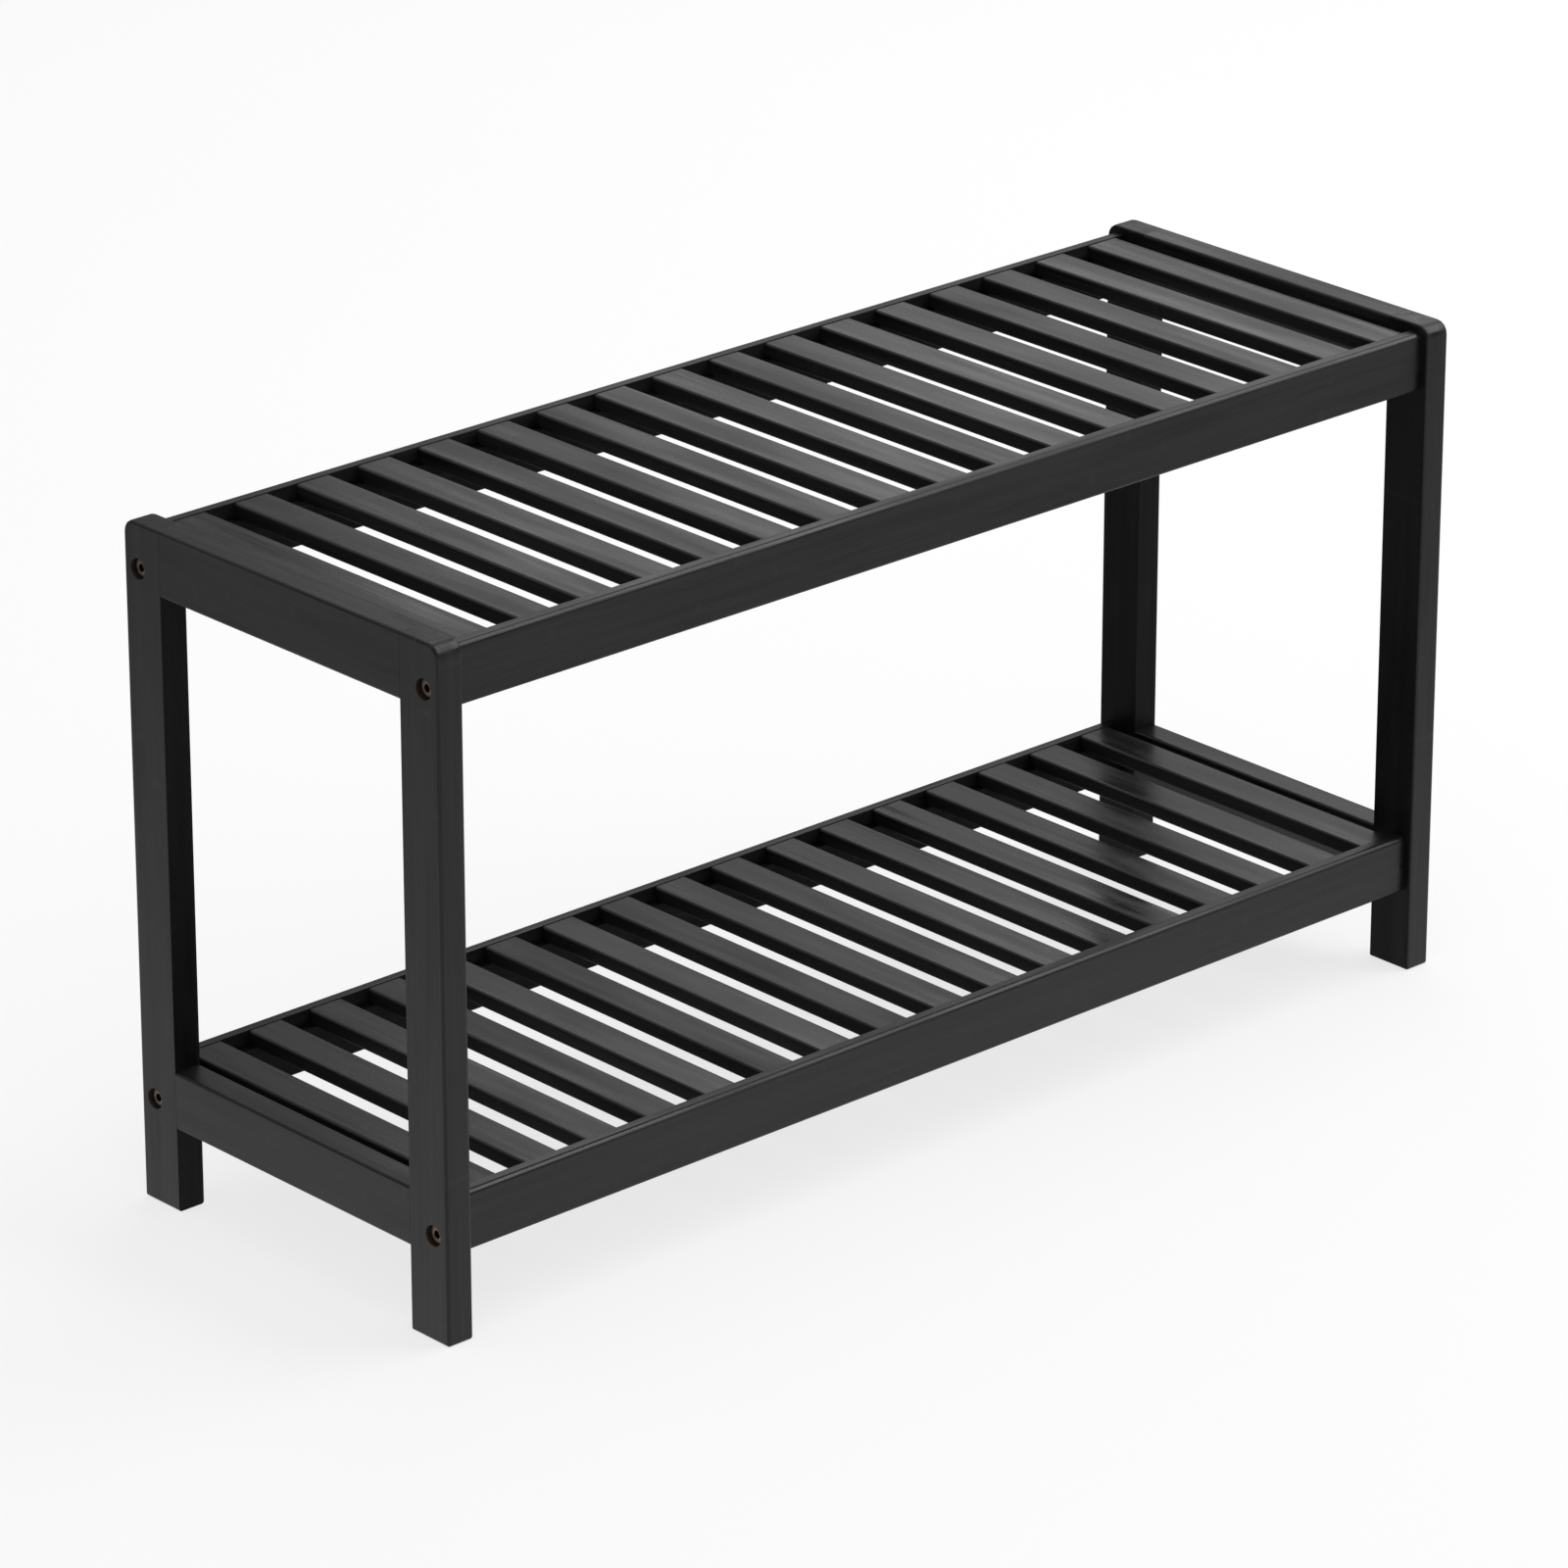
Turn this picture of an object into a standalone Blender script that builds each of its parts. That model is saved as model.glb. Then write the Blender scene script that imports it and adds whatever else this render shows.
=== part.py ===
"""Two-tier slatted shoe rack of black lacquered bamboo, in metres, +Z up, standing on the floor at z = 0.

The rack is long along X, its front faces -Y, and the origin lies under its middle. Two side frames, each of two
posts and two tenoned side rails, carry two shelves. A shelf is a front rail and a rear rail with slats housed
between them. Recessed hex socket bolts go through the posts into the ends of the shelf rails.
"""

import math

import bmesh
import bpy

# Overall size
LENGTH = 0.700
DEPTH = 0.240
HEIGHT = 0.370

# Posts of the side frames
POST_WIDTH = 0.016
POST_DEPTH = 0.028
POST_TOP_RADIUS = 0.007

# Side rails, tenoned into the posts
SIDE_RAIL_THICKNESS = 0.016
TOP_SIDE_RAIL_HEIGHT = 0.035
BOTTOM_SIDE_RAIL_HEIGHT = 0.032
FOOT_HEIGHT = 0.046
TENON_CHEEK = 0.004
TENON_SHOULDER = 0.006
TENON_WALL = 0.0035

# Front and rear rails of a shelf
SHELF_RAIL_HEIGHT = 0.032
SHELF_RAIL_THICKNESS = 0.012
SHELF_RAIL_SETBACK = 0.0045
SHELF_RAIL_TOP_RADIUS = 0.003
SHELF_RAIL_INNER_EDGE = 0.0004
TOP_SHELF_DROP = 0.004
HOUSING_WALL = 0.006

# Slats, with a tongue at each end that is housed in the shelf rails
SLAT_COUNT = 17
SLAT_WIDTH = 0.022
SLAT_THICKNESS = 0.0085
SLAT_DROP = 0.0004
SLAT_END_GAP = 0.005
TONGUE_SHOULDER = 0.002
TONGUE_CHEEK = 0.002

# Bolts
BOLT_LENGTH = 0.050
BOLT_DIAMETER = 0.006
BOLT_HEAD_DIAMETER = 0.010
BOLT_HEAD_HEIGHT = 0.0035
BOLT_HEAD_CHAMFER = 0.0005
BOLT_TIP_CHAMFER = 0.001
BOLT_RECESS = 0.0022
SOCKET_WIDTH = 0.004
SOCKET_DEPTH = 0.0023
COUNTERBORE_CLEARANCE = 0.0005

# Fits and edges
GAP = 0.0003
CUT_OVERRUN = 0.002
EASED_EDGE = 0.001
TENON_EDGE = 0.0005
EASED_EDGE_STEPS = 2
SHELF_RAIL_STEPS = 4
POST_TOP_STEPS = 6
BOLT_SIDES = 24
SHARP_ANGLE = math.radians(40)

# Places worked out from the sizes above
POST_X = (LENGTH - POST_WIDTH) / 2
POST_Y = (DEPTH - POST_DEPTH) / 2
SHELF_RAIL_Y = DEPTH / 2 - SHELF_RAIL_SETBACK - SHELF_RAIL_THICKNESS / 2
SHELF_RAIL_LENGTH = LENGTH - 2 * (POST_WIDTH + GAP)
SHELF_BASES = {"bottom": FOOT_HEIGHT, "top": HEIGHT - TOP_SHELF_DROP - SHELF_RAIL_HEIGHT}
SIDE_RAIL_HEIGHTS = {"bottom": BOTTOM_SIDE_RAIL_HEIGHT, "top": TOP_SIDE_RAIL_HEIGHT}
SIDE_RAIL_BASES = {"bottom": FOOT_HEIGHT, "top": HEIGHT - TOP_SIDE_RAIL_HEIGHT}
SLAT_TOP = SHELF_RAIL_HEIGHT - SLAT_DROP
SLAT_BODY_LENGTH = 2 * (SHELF_RAIL_Y - SHELF_RAIL_THICKNESS / 2 - GAP)
SLAT_ROW = LENGTH - 2 * (POST_WIDTH + SLAT_END_GAP) - SLAT_WIDTH
SLAT_PLACES = [SLAT_ROW * (index / (SLAT_COUNT - 1) - 0.5) for index in range(SLAT_COUNT)]
TONGUE_LENGTH = SHELF_RAIL_THICKNESS - HOUSING_WALL
TONGUE_WIDTH = SLAT_WIDTH - 2 * TONGUE_CHEEK
TONGUE_THICKNESS = SLAT_THICKNESS - 2 * TONGUE_SHOULDER
BOLT_RISE = (SLAT_TOP - SLAT_THICKNESS) / 2
BOLT_X = LENGTH / 2 - BOLT_RECESS
COUNTERBORE_RADIUS = BOLT_HEAD_DIAMETER / 2 + COUNTERBORE_CLEARANCE
COUNTERBORE_DEPTH = BOLT_RECESS + BOLT_HEAD_HEIGHT + GAP
BOLT_HOLE_RADIUS = BOLT_DIAMETER / 2 + GAP
BOLT_HOLE_END = LENGTH / 2 - BOLT_X + BOLT_LENGTH + GAP
BOLT_INSET = DEPTH / 2 - SHELF_RAIL_Y
TENON_LENGTH = POST_DEPTH - BOLT_INSET - COUNTERBORE_RADIUS - TENON_WALL
TENON_THICKNESS = SIDE_RAIL_THICKNESS - 2 * TENON_CHEEK


def clear_scene():
    for item in list(bpy.data.objects):
        bpy.data.objects.remove(item, do_unlink=True)


def finish(name, colour, roughness, metallic):
    """A plain surface finish."""
    material = bpy.data.materials.new(name)
    material.use_nodes = True
    shader = material.node_tree.nodes["Principled BSDF"]
    shader.inputs["Base Color"].default_value = (*colour, 1.0)
    shader.inputs["Roughness"].default_value = roughness
    shader.inputs["Metallic"].default_value = metallic
    return material


def rounded_outline(width, height, radii, steps):
    """A rectangle about the origin, from its lower left corner round by the right, with a radius at each corner."""
    corners = ((-1, -1), (1, -1), (1, 1), (-1, 1))
    points = []
    for turn, ((across, up), radius) in enumerate(zip(corners, radii)):
        for step in range(steps + 1):
            angle = math.pi * (1 + (turn + step / steps) / 2)
            points.append(
                (
                    across * (width / 2 - radius) + radius * math.cos(angle),
                    up * (height / 2 - radius) + radius * math.sin(angle),
                )
            )
    return points


def eased_rectangle(width, height, edge):
    return rounded_outline(width, height, [edge] * 4, EASED_EDGE_STEPS)


def circle(radius):
    angles = [2 * math.pi * side / BOLT_SIDES for side in range(BOLT_SIDES)]
    return [(radius * math.cos(angle), radius * math.sin(angle)) for angle in angles]


def hexagon(width):
    """A hexagon of this width across flats, with as many points as a circle has."""
    points = []
    for side in range(BOLT_SIDES):
        angle = 2 * math.pi * side / BOLT_SIDES
        from_flat = (angle % (math.pi / 3)) - math.pi / 6
        radius = width / 2 / math.cos(from_flat)
        points.append((radius * math.cos(angle), radius * math.sin(angle)))
    return points


def along_x(outline, x):
    return [(x, across, up) for across, up in outline]


def along_y(outline, y):
    return [(across, y, up) for across, up in outline]


def add_loft(shape, loops):
    """Adds a closed solid that runs through loops of equally many points and has flat ends."""
    rings = [[shape.verts.new(point) for point in loop] for loop in loops]
    for ring, following in zip(rings, rings[1:]):
        for index in range(len(ring)):
            after = (index + 1) % len(ring)
            shape.faces.new((ring[index], ring[after], following[after], following[index]))
    shape.faces.new(reversed(rings[0]))
    shape.faces.new(rings[-1])


def add_box(shape, lowest, highest):
    outline = [(lowest[1], lowest[2]), (highest[1], lowest[2]), (highest[1], highest[2]), (lowest[1], highest[2])]
    add_loft(shape, [along_x(outline, lowest[0]), along_x(outline, highest[0])])


def lofted_mesh(name, solids):
    """A mesh of closed solids, each given by its loops."""
    shape = bmesh.new()
    for loops in solids:
        add_loft(shape, loops)
    return mesh_of(name, shape)


def mesh_of(name, shape):
    bmesh.ops.recalc_face_normals(shape, faces=shape.faces[:])
    mesh = bpy.data.meshes.new(name)
    shape.to_mesh(mesh)
    shape.free()
    mesh.shade_smooth()
    mesh.set_sharp_from_angle(angle=SHARP_ANGLE)
    return mesh


def group(name, place):
    """An empty that carries the pieces of one assembly."""
    empty = bpy.data.objects.new(name, None)
    empty.location = place
    bpy.context.collection.objects.link(empty)
    return empty


def piece(name, mesh, carrier, place, material):
    if not mesh.materials:
        mesh.materials.append(material)
    made = bpy.data.objects.new(name, mesh)
    made.parent = carrier
    made.location = place
    bpy.context.collection.objects.link(made)
    return made


def cut(target, mesh):
    """Cuts the mesh, which is drawn about the target's own origin, out of the target."""
    cutter = bpy.data.objects.new(target.name + "_cutter", mesh)
    cutter.parent = target.parent
    cutter.location = target.location
    cutter.hide_render = True
    cutter.display_type = "WIRE"
    bpy.context.collection.objects.link(cutter)
    boolean = target.modifiers.new("joints", "BOOLEAN")
    boolean.operation = "DIFFERENCE"
    boolean.solver = "EXACT"
    boolean.object = cutter


def shifted(outline, across, up):
    return [(first + across, second + up) for first, second in outline]


def post_mesh(name, front):
    """A post with its outer top corner rounded. Its origin is on the floor, under its middle."""
    top_radii = (0, POST_TOP_RADIUS) if front else (POST_TOP_RADIUS, 0)
    outline = shifted(
        rounded_outline(POST_DEPTH, HEIGHT, (0, 0, *top_radii), POST_TOP_STEPS),
        0,
        HEIGHT / 2,
    )
    shape = bmesh.new()
    add_loft(shape, [along_x(outline, -POST_WIDTH / 2), along_x(outline, POST_WIDTH / 2)])
    bmesh.ops.remove_doubles(shape, verts=shape.verts[:], dist=EASED_EDGE / 100)
    return mesh_of(name, shape)


def post_joints(name, outward, front):
    """Mortises for the side rails' tenons, and a stepped hole for each bolt from the outer face."""
    to_front = -1 if front else 1
    shape = bmesh.new()
    inner_face = -to_front * POST_DEPTH / 2
    mortise_end = inner_face + to_front * (TENON_LENGTH + GAP)
    mortise_mouth = inner_face - to_front * CUT_OVERRUN
    half_mortise = TENON_THICKNESS / 2 + GAP
    for level in ("bottom", "top"):
        lowest = SIDE_RAIL_BASES[level] + TENON_SHOULDER - GAP
        highest = SIDE_RAIL_BASES[level] + SIDE_RAIL_HEIGHTS[level] - TENON_SHOULDER + GAP
        add_box(
            shape,
            (-half_mortise, min(mortise_end, mortise_mouth), lowest),
            (half_mortise, max(mortise_end, mortise_mouth), highest),
        )
        bolt_y = to_front * (POST_DEPTH / 2 - BOLT_INSET)
        bolt_z = SHELF_BASES[level] + BOLT_RISE
        steps = (
            (COUNTERBORE_RADIUS, POST_WIDTH / 2 + CUT_OVERRUN),
            (COUNTERBORE_RADIUS, POST_WIDTH / 2 - COUNTERBORE_DEPTH),
            (BOLT_HOLE_RADIUS, POST_WIDTH / 2 - COUNTERBORE_DEPTH),
            (BOLT_HOLE_RADIUS, -POST_WIDTH / 2 - CUT_OVERRUN),
        )
        add_loft(shape, [along_x(shifted(circle(radius), bolt_y, bolt_z), outward * x) for radius, x in steps])
    return mesh_of(name, shape)


def ease_edges(target):
    bevel = target.modifiers.new("eased_edges", "BEVEL")
    bevel.width = EASED_EDGE
    bevel.segments = EASED_EDGE_STEPS
    bevel.limit_method = "ANGLE"
    bevel.angle_limit = SHARP_ANGLE


def side_rail_mesh(name, height):
    """A side rail along Y with a stub tenon at each end. Its origin is at its middle."""
    body = eased_rectangle(SIDE_RAIL_THICKNESS, height, EASED_EDGE)
    tenon = eased_rectangle(TENON_THICKNESS, height - 2 * TENON_SHOULDER, TENON_EDGE)
    shoulder = DEPTH / 2 - POST_DEPTH - GAP
    tip = shoulder + TENON_LENGTH
    places = ((tenon, -tip), (tenon, -shoulder), (body, -shoulder), (body, shoulder), (tenon, shoulder), (tenon, tip))
    return lofted_mesh(name, [[along_y(outline, y) for outline, y in places]])


def make_side_frame(side, outward, lacquer):
    frame = group(side + "_side_frame", (outward * POST_X, 0, 0))
    for end, front in (("front", True), ("rear", False)):
        name = f"{side}_{end}_post"
        post = piece(name, post_mesh(name, front), frame, (0, -POST_Y if front else POST_Y, 0), lacquer)
        ease_edges(post)
        cut(post, post_joints(name + "_joints", outward, front))
    for level, height in SIDE_RAIL_HEIGHTS.items():
        name = f"{side}_{level}_side_rail"
        piece(name, side_rail_mesh(name, height), frame, (0, 0, SIDE_RAIL_BASES[level] + height / 2), lacquer)


def shelf_rail_mesh(name, front):
    """A shelf rail along X with its outer top edge rounded over. Its origin is at its middle."""
    top_radii = (SHELF_RAIL_INNER_EDGE, SHELF_RAIL_TOP_RADIUS)
    if not front:
        top_radii = top_radii[::-1]
    outline = rounded_outline(
        SHELF_RAIL_THICKNESS, SHELF_RAIL_HEIGHT, (EASED_EDGE, EASED_EDGE, *top_radii), SHELF_RAIL_STEPS
    )
    ends = (-SHELF_RAIL_LENGTH / 2, SHELF_RAIL_LENGTH / 2)
    return lofted_mesh(name, [[along_x(outline, x) for x in ends]])


def shelf_rail_joints(name, front):
    """A housing for each slat's tongue in the inner face, and a bolt hole in each end."""
    to_front = -1 if front else 1
    shape = bmesh.new()
    mouth = -to_front * (SHELF_RAIL_THICKNESS / 2 + CUT_OVERRUN)
    housing_end = to_front * (TONGUE_LENGTH - SHELF_RAIL_THICKNESS / 2)
    half_width = TONGUE_WIDTH / 2 + GAP
    middle = SLAT_TOP - SLAT_THICKNESS / 2 - SHELF_RAIL_HEIGHT / 2
    half_thickness = TONGUE_THICKNESS / 2 + GAP
    for place in SLAT_PLACES:
        add_box(
            shape,
            (place - half_width, min(mouth, housing_end), middle - half_thickness),
            (place + half_width, max(mouth, housing_end), middle + half_thickness),
        )
    hole = shifted(circle(BOLT_HOLE_RADIUS), 0, BOLT_RISE - SHELF_RAIL_HEIGHT / 2)
    for outward in (-1, 1):
        ends = (SHELF_RAIL_LENGTH / 2 + CUT_OVERRUN, LENGTH / 2 - BOLT_HOLE_END)
        add_loft(shape, [along_x(hole, outward * x) for x in ends])
    return mesh_of(name, shape)


def slat_mesh(name):
    """A slat along Y with a tongue at each end. Its origin is at its middle."""
    body = eased_rectangle(SLAT_WIDTH, SLAT_THICKNESS, EASED_EDGE)
    tongue = eased_rectangle(TONGUE_WIDTH, TONGUE_THICKNESS, TENON_EDGE)
    shoulder = SLAT_BODY_LENGTH / 2
    tip = shoulder + TONGUE_LENGTH
    places = (
        (tongue, -tip),
        (tongue, -shoulder),
        (body, -shoulder),
        (body, shoulder),
        (tongue, shoulder),
        (tongue, tip),
    )
    return lofted_mesh(name, [[along_y(outline, y) for outline, y in places]])


def make_shelf(level, slat, rail_lacquer, slat_lacquer):
    shelf = group(level + "_shelf", (0, 0, SHELF_BASES[level]))
    for end, front in (("front", True), ("rear", False)):
        name = f"{level}_shelf_{end}_rail"
        place = (0, -SHELF_RAIL_Y if front else SHELF_RAIL_Y, SHELF_RAIL_HEIGHT / 2)
        rail = piece(name, shelf_rail_mesh(name, front), shelf, place, rail_lacquer)
        cut(rail, shelf_rail_joints(name + "_joints", front))
    for number, x in enumerate(SLAT_PLACES, 1):
        place = (x, 0, SLAT_TOP - SLAT_THICKNESS / 2)
        piece(f"{level}_shelf_slat_{number:02d}", slat, shelf, place, slat_lacquer)


def bolt_mesh(name):
    """A flat-headed bolt along +X with a hexagon socket. Its origin is in the middle of the head's outer face."""
    head = BOLT_HEAD_DIAMETER / 2
    shank = BOLT_DIAMETER / 2
    places = (
        (hexagon(SOCKET_WIDTH), SOCKET_DEPTH),
        (hexagon(SOCKET_WIDTH), 0),
        (circle(head - BOLT_HEAD_CHAMFER), 0),
        (circle(head), BOLT_HEAD_CHAMFER),
        (circle(head), BOLT_HEAD_HEIGHT),
        (circle(shank), BOLT_HEAD_HEIGHT),
        (circle(shank), BOLT_LENGTH - BOLT_TIP_CHAMFER),
        (circle(shank - BOLT_TIP_CHAMFER), BOLT_LENGTH),
    )
    return lofted_mesh(name, [[along_x(outline, x) for outline, x in places]])


def make_bolts(steel):
    bolts = group("bolts", (0, 0, 0))
    mesh = bolt_mesh("bolt")
    for side, outward in (("left", -1), ("right", 1)):
        for end, to_front in (("front", -1), ("rear", 1)):
            for level, base in SHELF_BASES.items():
                place = (outward * BOLT_X, to_front * SHELF_RAIL_Y, base + BOLT_RISE)
                bolt = piece(f"{side}_{end}_{level}_bolt", mesh, bolts, place, steel)
                bolt.rotation_euler.z = 0 if outward < 0 else math.pi


def make_rack():
    clear_scene()
    frame_lacquer = finish("frame_lacquer", (0.016, 0.016, 0.017), 0.42, 0)
    rail_lacquer = finish("rail_lacquer", (0.016, 0.016, 0.017), 0.40, 0)
    slat_lacquer = finish("slat_lacquer", (0.018, 0.018, 0.019), 0.34, 0)
    bolt_steel = finish("bolt_steel", (0.10, 0.065, 0.045), 0.45, 1)
    make_side_frame("left", -1, frame_lacquer)
    make_side_frame("right", 1, frame_lacquer)
    slat = slat_mesh("slat")
    make_shelf("bottom", slat, rail_lacquer, slat_lacquer)
    make_shelf("top", slat, rail_lacquer, slat_lacquer)
    make_bolts(bolt_steel)


make_rack()
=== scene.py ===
import math

import bmesh
import bpy
from mathutils import Matrix, Vector


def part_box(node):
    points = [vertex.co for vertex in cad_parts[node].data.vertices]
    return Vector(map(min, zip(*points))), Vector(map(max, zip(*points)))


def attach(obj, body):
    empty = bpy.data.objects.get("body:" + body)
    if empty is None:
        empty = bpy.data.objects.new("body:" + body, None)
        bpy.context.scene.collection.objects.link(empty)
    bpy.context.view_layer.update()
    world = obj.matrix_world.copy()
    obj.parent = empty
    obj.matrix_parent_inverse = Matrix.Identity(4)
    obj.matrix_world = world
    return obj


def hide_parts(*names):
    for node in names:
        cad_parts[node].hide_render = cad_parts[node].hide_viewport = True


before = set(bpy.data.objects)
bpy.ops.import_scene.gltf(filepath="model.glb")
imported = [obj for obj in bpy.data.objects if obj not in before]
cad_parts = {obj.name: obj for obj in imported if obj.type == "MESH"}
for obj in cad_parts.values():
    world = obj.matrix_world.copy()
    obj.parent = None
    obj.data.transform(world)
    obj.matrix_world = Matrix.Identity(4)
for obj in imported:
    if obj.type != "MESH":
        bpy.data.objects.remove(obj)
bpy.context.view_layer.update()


# Posts
# Four uprights of laminated bamboo with eased edges, the outer top corner sanded round. Mortised
# for the side rails' tenons and drilled for two bolts; lacquered satin outside. Faces turned
# inward take a darker, duller copy of the lacquer, painted shade for the inside of the frame.
EASED_EDGE = 0.0016
JOINT_EDGE = 0.00012
FINEST_EDGE = 0.00005
EDGE_STEPS = 4
SHARP_ANGLE = math.radians(42)
FLAT_FACE_WEIGHT = 90
POST_TOP_RADIUS = 0.007
FIT = 0.0003
OVERRUN = 0.002
TENON_CHEEK = 0.0037
TENON_SHOULDER = 0.0057
COUNTERBORE_RADIUS = 0.0055
COUNTERBORE_DEPTH = 0.006
COUNTERBORE_RIM = 0.0002
BOLT_HOLE_RADIUS = 0.0033
HOLE_SIDES = 48
# How far a post's face must turn inward to take the painted-shade copy of the lacquer.
INSIDE_FACING = 0.8

# The bamboo's strips and knuckles, and how often its patterns repeat in a metre, across the
# fibres and along them.
STRIP_WIDTH = 0.0061
SEAM_SHARE = 0.05
KNUCKLE_SPACING = 0.27
KNUCKLE_BAND = 0.012
KNUCKLE_SCATTER = 7.3
FIBRES = (1300.0, 26.0)
STREAKS = (230.0, 5.0)
GRAIN_AND_SHEEN_BANDS = (95.0, 9.0)
WAVES = (34.0, 11.0)
LACQUER_PEEL = 420.0
FIRST_PATTERN = 3.0
PATTERN_SPREAD = 31.0

# The colours of the lacquer and of the drilled holes, the lacquer's shine, and how much its
# patterns add to its roughness.
LACQUER_BLACK = (0.0028, 0.0028, 0.0030, 1)
FIBRE_TONE = (0.0135, 0.0130, 0.0127, 1)
# The inward faces' tone is darker than the fibre tone: painted shade inside the frame.
INSIDE_FIBRE_AND_SHADE_TONE = (0.0095, 0.0092, 0.0090, 1)
RUBBED_TONE = (0.021, 0.0175, 0.0150, 1)
DRILLED_DARK = (0.004, 0.003, 0.0025, 1)
DRILLED_LIGHT = (0.040, 0.021, 0.011, 1)
SATIN_SHINE = 0.30
PATTERN_ROUGHNESS = 0.29


def node_maker(tree):
    """A function that adds a shader node, given its settings and the links or values it takes."""

    def add(kind, settings=None, **inputs):
        node = tree.nodes.new(kind)
        for name, value in (settings or {}).items():
            setattr(node, name, value)
        for name, value in inputs.items():
            number = name[1:]
            socket = node.inputs[int(number) if number.isdigit() else name.replace("_", " ")]
            if isinstance(value, bpy.types.NodeSocket):
                tree.links.new(value, socket)
            else:
                socket.default_value = value
        return node.outputs

    return add


def blank_material(name):
    """A new material with its shader, and the functions that add and link its nodes."""
    material = bpy.data.materials.new(name)
    material.use_nodes = True
    tree = material.node_tree
    return material, tree.nodes["Principled BSDF"], node_maker(tree), tree.links.new


def worked_out(add, operation, *values):
    """The result of one step of arithmetic."""
    inputs = {f"i{place}": value for place, value in enumerate(values)}
    return add("ShaderNodeMath", {"operation": operation}, **inputs)[0]


def added_up(add, start, *parts):
    """A value plus each of the other values times its amount."""
    for value, amount in parts:
        start = worked_out(add, "MULTIPLY_ADD", value, amount, start)
    return start


def rescaled(add, value, before, after):
    """A value that runs between the first two numbers, made to run between the last two."""
    ends = {"From_Min": before[0], "From_Max": before[1], "To_Min": after[0], "To_Max": after[1]}
    return add("ShaderNodeMapRange", Value=value, **ends)[0]


def noise(add, place, scale, detail, crispness):
    """Cloudy noise at a place."""
    inputs = {"Scale": scale, "Detail": detail, "Roughness": crispness}
    return add("ShaderNodeTexNoise", Vector=place, **inputs)[0]


def two_tone(add, value, dark, light, start=0.0, stop=1.0):
    """A colour that goes from dark to light as a value goes from start to stop."""
    colour = add("ShaderNodeValToRGB", Fac=value)[0]
    first, last = colour.node.color_ramp.elements
    first.position, first.color = start, dark
    last.position, last.color = stop, light
    return colour


def black_lacquer(name, grain, across, roughness, shine=SATIN_SHINE, fibre_and_painted_light_tone=FIBRE_TONE):
    """Satin black lacquer over bamboo. Fibres, glued strips and knuckles show through it faintly.

    The fibres run along the axis grain, and the strips lie side by side along the axis across.
    """
    material, shader, add, link = blank_material(name)
    place = add("ShaderNodeTexCoord")["Object"]
    piece = add("ShaderNodeObjectInfo")["Random"]
    shift = added_up(add, FIRST_PATTERN, (piece, PATTERN_SPREAD))
    place = add("ShaderNodeVectorMath", {"operation": "ADD"}, i0=place, i1=shift)[0]

    def along_grain(pattern, detail, crispness):
        """Noise that is drawn out along the fibres."""
        scale = [pattern[1] if axis == grain else pattern[0] for axis in range(3)]
        drawn_out = add("ShaderNodeMapping", Vector=place, Scale=scale)[0]
        return noise(add, drawn_out, 1.0, detail, crispness)

    fibre = along_grain(FIBRES, 4.0, 0.6)
    streak = along_grain(STREAKS, 3.0, 0.55)
    wave = along_grain(WAVES, 1.0, 0.4)
    peel = noise(add, place, LACQUER_PEEL, 1.0, 0.4)
    # Broad bands along the grain change tone and roughness: partly grain showing through, partly
    # sheen streaks painted into the colour.
    grain_and_sheen_band = rescaled(add, along_grain(GRAIN_AND_SHEEN_BANDS, 2.0, 0.5), (0.32, 0.68), (0.0, 1.0))

    places = add("ShaderNodeSeparateXYZ", Vector=place)
    strip_place = added_up(add, 0.0, (places["XYZ"[across]], 1 / STRIP_WIDTH))
    strip_number = worked_out(add, "FLOOR", strip_place)
    strip = add("ShaderNodeTexWhiteNoise", {"noise_dimensions": "1D"}, W=strip_number)["Value"]
    seam = worked_out(add, "PINGPONG", worked_out(add, "FRACT", strip_place), 0.5)
    seam = rescaled(add, seam, (0.0, SEAM_SHARE), (1.0, 0.0))
    cane_place = added_up(
        add, strip, (places["XYZ"[grain]], 1 / KNUCKLE_SPACING), (strip, KNUCKLE_SCATTER)
    )
    cane_place = worked_out(add, "FRACT", cane_place)
    knuckle = worked_out(add, "COMPARE", cane_place, 0.5, 0.5 * KNUCKLE_BAND)

    tone = worked_out(add, "MULTIPLY", fibre, streak)
    # The bands' share of the tone is partly painted sheen.
    tone = added_up(add, tone, (strip, 0.08), (knuckle, 0.12), (grain_and_sheen_band, 0.14))
    colour = two_tone(add, tone, LACQUER_BLACK, fibre_and_painted_light_tone, 0.16, 0.50)
    edge = add("ShaderNodeAttribute", {"attribute_name": "edge"})["Fac"]
    rubbed = rescaled(add, streak, (0.42, 0.72), (0.1, 0.8))
    rubbed = worked_out(add, "MULTIPLY", edge, rubbed)
    colour = add("ShaderNodeMix", {"data_type": "RGBA"}, i0=rubbed, i6=colour, i7=RUBBED_TONE)[2]
    link(colour, shader.inputs["Base Color"])

    rough = added_up(
        add,
        roughness - PATTERN_ROUGHNESS,
        (wave, 0.10),
        (streak, 0.10),
        (fibre, 0.05),
        (strip, 0.02),
        (rubbed, 0.05),
        (grain_and_sheen_band, 0.22),
        (piece, 0.10),
    )
    link(rough, shader.inputs["Roughness"])
    shader.inputs["Specular IOR Level"].default_value = shine
    relief = added_up(
        add,
        0.0,
        (wave, 0.00035),
        (streak, 0.00009),
        (fibre, 0.000010),
        (peel, 0.000006),
        (strip, 0.000008),
        (seam, -0.000010),
        (knuckle, 0.000012),
    )
    bump = add("ShaderNodeBump", Strength=1.0, Distance=1.0, Height=relief)[0]
    link(bump, shader.inputs["Normal"])
    return material


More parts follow.
